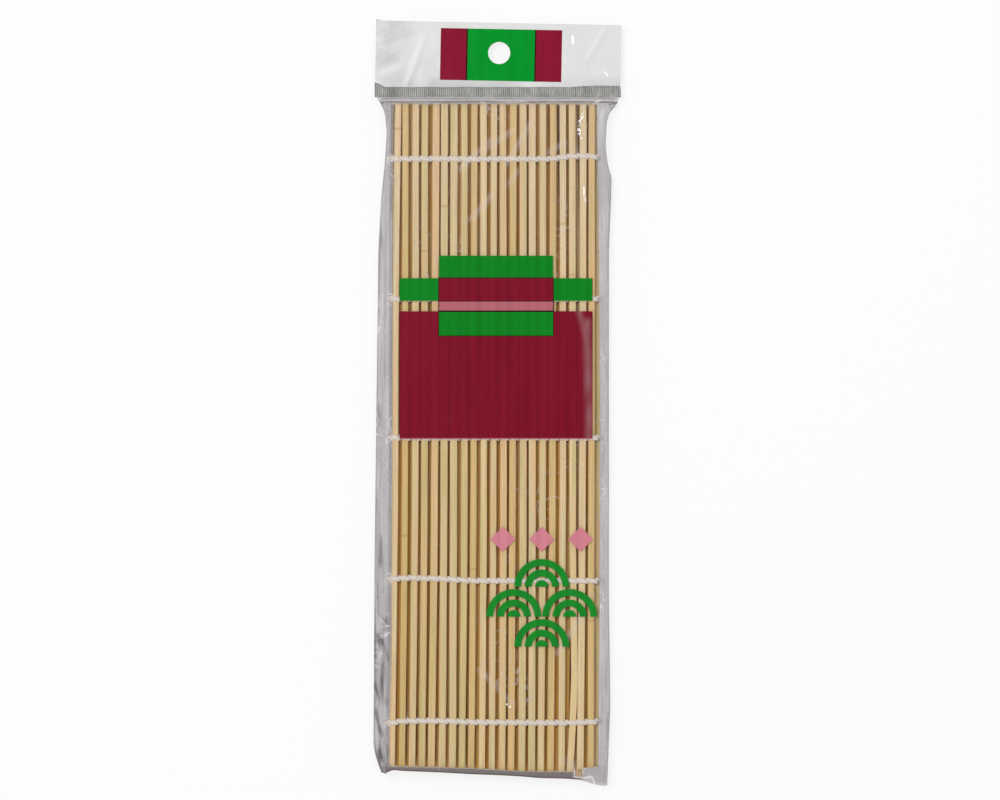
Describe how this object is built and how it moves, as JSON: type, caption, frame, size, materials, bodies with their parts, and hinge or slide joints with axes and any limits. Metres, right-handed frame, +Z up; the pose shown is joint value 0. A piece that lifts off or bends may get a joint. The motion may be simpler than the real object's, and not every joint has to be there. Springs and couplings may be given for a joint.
{
  "type": "sushi rolling mat",
  "caption": "Bamboo sushi rolling mat of slats twined in rows of white cotton, folded in layers and packed in a clear film bag with a printed hanging header",
  "frame": {"origin": "on the table under the middle of the stack, at the centre of the back film's resting face", "axes": "+Y along the slats towards the header and its hanging hole, +X across the slats towards the first fold, +Z up through the stack, out of the printed front"},
  "size_m": [0.089, 0.2724, 0.0087],
  "materials": {
    "bamboo_slats": "planed bamboo, dry, fine straight grain",
    "cotton_twine": "two-ply white cotton twine, matt",
    "clear_film": "clear glossy packing film",
    "heat_seal": "clear film welded in fine ribs, grey",
    "white_header": "white printed film, softly creased",
    "green_ink": "flat green ink under gloss film",
    "maroon_ink": "flat maroon ink under gloss film",
    "pink_ink": "flat pink ink under gloss film",
    "motif_ink": "green and pink ink ornament under gloss film"
  },
  "bodies": {
    "back_layer": {"back_slats": "bamboo_slats", "back_twine": "cotton_twine"},
    "middle_layer": {"middle_slats": "bamboo_slats", "middle_twine": "cotton_twine"},
    "front_01": {"front_slat_01": "bamboo_slats", "front_twine_01": "cotton_twine"},
    "front_02": {"front_slat_02": "bamboo_slats", "front_twine_02": "cotton_twine"},
    "front_03": {"front_slat_03": "bamboo_slats", "front_twine_03": "cotton_twine"},
    "front_04": {"front_slat_04": "bamboo_slats", "front_twine_04": "cotton_twine"},
    "front_05": {"front_slat_05": "bamboo_slats", "front_twine_05": "cotton_twine"},
    "front_06": {"front_slat_06": "bamboo_slats", "front_twine_06": "cotton_twine"},
    "front_07": {"front_slat_07": "bamboo_slats", "front_twine_07": "cotton_twine"},
    "front_08": {"front_slat_08": "bamboo_slats", "front_twine_08": "cotton_twine"},
    "front_09": {"front_slat_09": "bamboo_slats", "front_twine_09": "cotton_twine"},
    "front_10": {"front_slat_10": "bamboo_slats", "front_twine_10": "cotton_twine"},
    "front_11": {"front_slat_11": "bamboo_slats", "front_twine_11": "cotton_twine"},
    "front_12": {"front_slat_12": "bamboo_slats", "front_twine_12": "cotton_twine"},
    "front_13": {"front_slat_13": "bamboo_slats", "front_twine_13": "cotton_twine"},
    "front_14": {"front_slat_14": "bamboo_slats", "front_twine_14": "cotton_twine"},
    "front_15": {"front_slat_15": "bamboo_slats", "front_twine_15": "cotton_twine"},
    "front_16": {"front_slat_16": "bamboo_slats", "front_twine_16": "cotton_twine"},
    "front_17": {"front_slat_17": "bamboo_slats", "front_twine_17": "cotton_twine"},
    "front_18": {"front_slat_18": "bamboo_slats", "front_twine_18": "cotton_twine"},
    "front_19": {"front_slat_19": "bamboo_slats", "front_twine_19": "cotton_twine"},
    "front_20": {"front_slat_20": "bamboo_slats", "front_twine_20": "cotton_twine"},
    "front_21": {"front_slat_21": "bamboo_slats", "front_twine_21": "cotton_twine"},
    "bag": {"back_film": "clear_film", "left_film": "clear_film", "front_film": "clear_film", "neck_film": "clear_film", "crimp_seal": "heat_seal", "header": "white_header", "header_print_green": "green_ink", "header_print_maroon": "maroon_ink", "front_print_green": "green_ink", "front_print_maroon": "maroon_ink", "front_print_pink": "pink_ink", "front_motif": "motif_ink"}
  },
  "joints": [
    {"name": "unfold_back", "type": "hinge", "parent": "back_layer", "child": "middle_layer", "pos_m": [-0.03728, 0, 0.00295], "axis": [0, -1, 0], "range_deg": [0, 180], "deforming": ["left_film"]},
    {"name": "unfold_front", "type": "hinge", "parent": "middle_layer", "child": "front_21", "pos_m": [0.03728, 0, 0.00565], "axis": [0, 1, 0], "range_deg": [0, 180]},
    {"name": "roll_20", "type": "hinge", "parent": "front_21", "child": "front_20", "pos_m": [0.03284, 0, 0.007], "axis": [0, 1, 0], "range_deg": [0, 14], "deforming": ["front_film", "front_print_green", "front_print_maroon", "front_print_pink", "front_motif"]},
    {"name": "roll_19", "type": "hinge", "parent": "front_20", "child": "front_19", "pos_m": [0.02929, 0, 0.007], "axis": [0, 1, 0], "range_deg": [0, 14]},
    {"name": "roll_18", "type": "hinge", "parent": "front_19", "child": "front_18", "pos_m": [0.02574, 0, 0.007], "axis": [0, 1, 0], "range_deg": [0, 14]},
    {"name": "roll_17", "type": "hinge", "parent": "front_18", "child": "front_17", "pos_m": [0.02219, 0, 0.007], "axis": [0, 1, 0], "range_deg": [0, 14]},
    {"name": "roll_16", "type": "hinge", "parent": "front_17", "child": "front_16", "pos_m": [0.01864, 0, 0.007], "axis": [0, 1, 0], "range_deg": [0, 14]},
    {"name": "roll_15", "type": "hinge", "parent": "front_16", "child": "front_15", "pos_m": [0.01509, 0, 0.007], "axis": [0, 1, 0], "range_deg": [0, 14]},
    {"name": "roll_14", "type": "hinge", "parent": "front_15", "child": "front_14", "pos_m": [0.01154, 0, 0.007], "axis": [0, 1, 0], "range_deg": [0, 14]},
    {"name": "roll_13", "type": "hinge", "parent": "front_14", "child": "front_13", "pos_m": [0.00799, 0, 0.007], "axis": [0, 1, 0], "range_deg": [0, 14]},
    {"name": "roll_12", "type": "hinge", "parent": "front_13", "child": "front_12", "pos_m": [0.00444, 0, 0.007], "axis": [0, 1, 0], "range_deg": [0, 14]},
    {"name": "roll_11", "type": "hinge", "parent": "front_12", "child": "front_11", "pos_m": [0.00089, 0, 0.007], "axis": [0, 1, 0], "range_deg": [0, 14]},
    {"name": "roll_10", "type": "hinge", "parent": "front_11", "child": "front_10", "pos_m": [-0.00266, 0, 0.007], "axis": [0, 1, 0], "range_deg": [0, 14]},
    {"name": "roll_09", "type": "hinge", "parent": "front_10", "child": "front_09", "pos_m": [-0.00621, 0, 0.007], "axis": [0, 1, 0], "range_deg": [0, 14]},
    {"name": "roll_08", "type": "hinge", "parent": "front_09", "child": "front_08", "pos_m": [-0.00976, 0, 0.007], "axis": [0, 1, 0], "range_deg": [0, 14]},
    {"name": "roll_07", "type": "hinge", "parent": "front_08", "child": "front_07", "pos_m": [-0.01331, 0, 0.007], "axis": [0, 1, 0], "range_deg": [0, 14]},
    {"name": "roll_06", "type": "hinge", "parent": "front_07", "child": "front_06", "pos_m": [-0.01686, 0, 0.007], "axis": [0, 1, 0], "range_deg": [0, 14]},
    {"name": "roll_05", "type": "hinge", "parent": "front_06", "child": "front_05", "pos_m": [-0.02041, 0, 0.007], "axis": [0, 1, 0], "range_deg": [0, 14]},
    {"name": "roll_04", "type": "hinge", "parent": "front_05", "child": "front_04", "pos_m": [-0.02396, 0, 0.007], "axis": [0, 1, 0], "range_deg": [0, 14]},
    {"name": "roll_03", "type": "hinge", "parent": "front_04", "child": "front_03", "pos_m": [-0.02751, 0, 0.007], "axis": [0, 1, 0], "range_deg": [0, 14]},
    {"name": "roll_02", "type": "hinge", "parent": "front_03", "child": "front_02", "pos_m": [-0.03106, 0, 0.007], "axis": [0, 1, 0], "range_deg": [0, 14]},
    {"name": "roll_01", "type": "hinge", "parent": "front_02", "child": "front_01", "pos_m": [-0.03461, 0, 0.007], "axis": [0, 1, 0], "range_deg": [0, 14]},
    {"name": "bag_slide", "type": "slide", "parent": "back_layer", "child": "bag", "axis": [0, 1, 0], "range_m": [0, 0.25]}
  ],
  "couplings": [
    {"joint": "unfold_front", "follows": "unfold_back", "ratio": 1},
    {"joint": "roll_19", "follows": "roll_20", "ratio": 1},
    {"joint": "roll_18", "follows": "roll_20", "ratio": 1},
    {"joint": "roll_17", "follows": "roll_20", "ratio": 1},
    {"joint": "roll_16", "follows": "roll_20", "ratio": 1},
    {"joint": "roll_15", "follows": "roll_20", "ratio": 1},
    {"joint": "roll_14", "follows": "roll_20", "ratio": 1},
    {"joint": "roll_13", "follows": "roll_20", "ratio": 1},
    {"joint": "roll_12", "follows": "roll_20", "ratio": 1},
    {"joint": "roll_11", "follows": "roll_20", "ratio": 1},
    {"joint": "roll_10", "follows": "roll_20", "ratio": 1},
    {"joint": "roll_09", "follows": "roll_20", "ratio": 1},
    {"joint": "roll_08", "follows": "roll_20", "ratio": 1},
    {"joint": "roll_07", "follows": "roll_20", "ratio": 1},
    {"joint": "roll_06", "follows": "roll_20", "ratio": 1},
    {"joint": "roll_05", "follows": "roll_20", "ratio": 1},
    {"joint": "roll_04", "follows": "roll_20", "ratio": 1},
    {"joint": "roll_03", "follows": "roll_20", "ratio": 1},
    {"joint": "roll_02", "follows": "roll_20", "ratio": 1},
    {"joint": "roll_01", "follows": "roll_20", "ratio": 1}
  ]
}
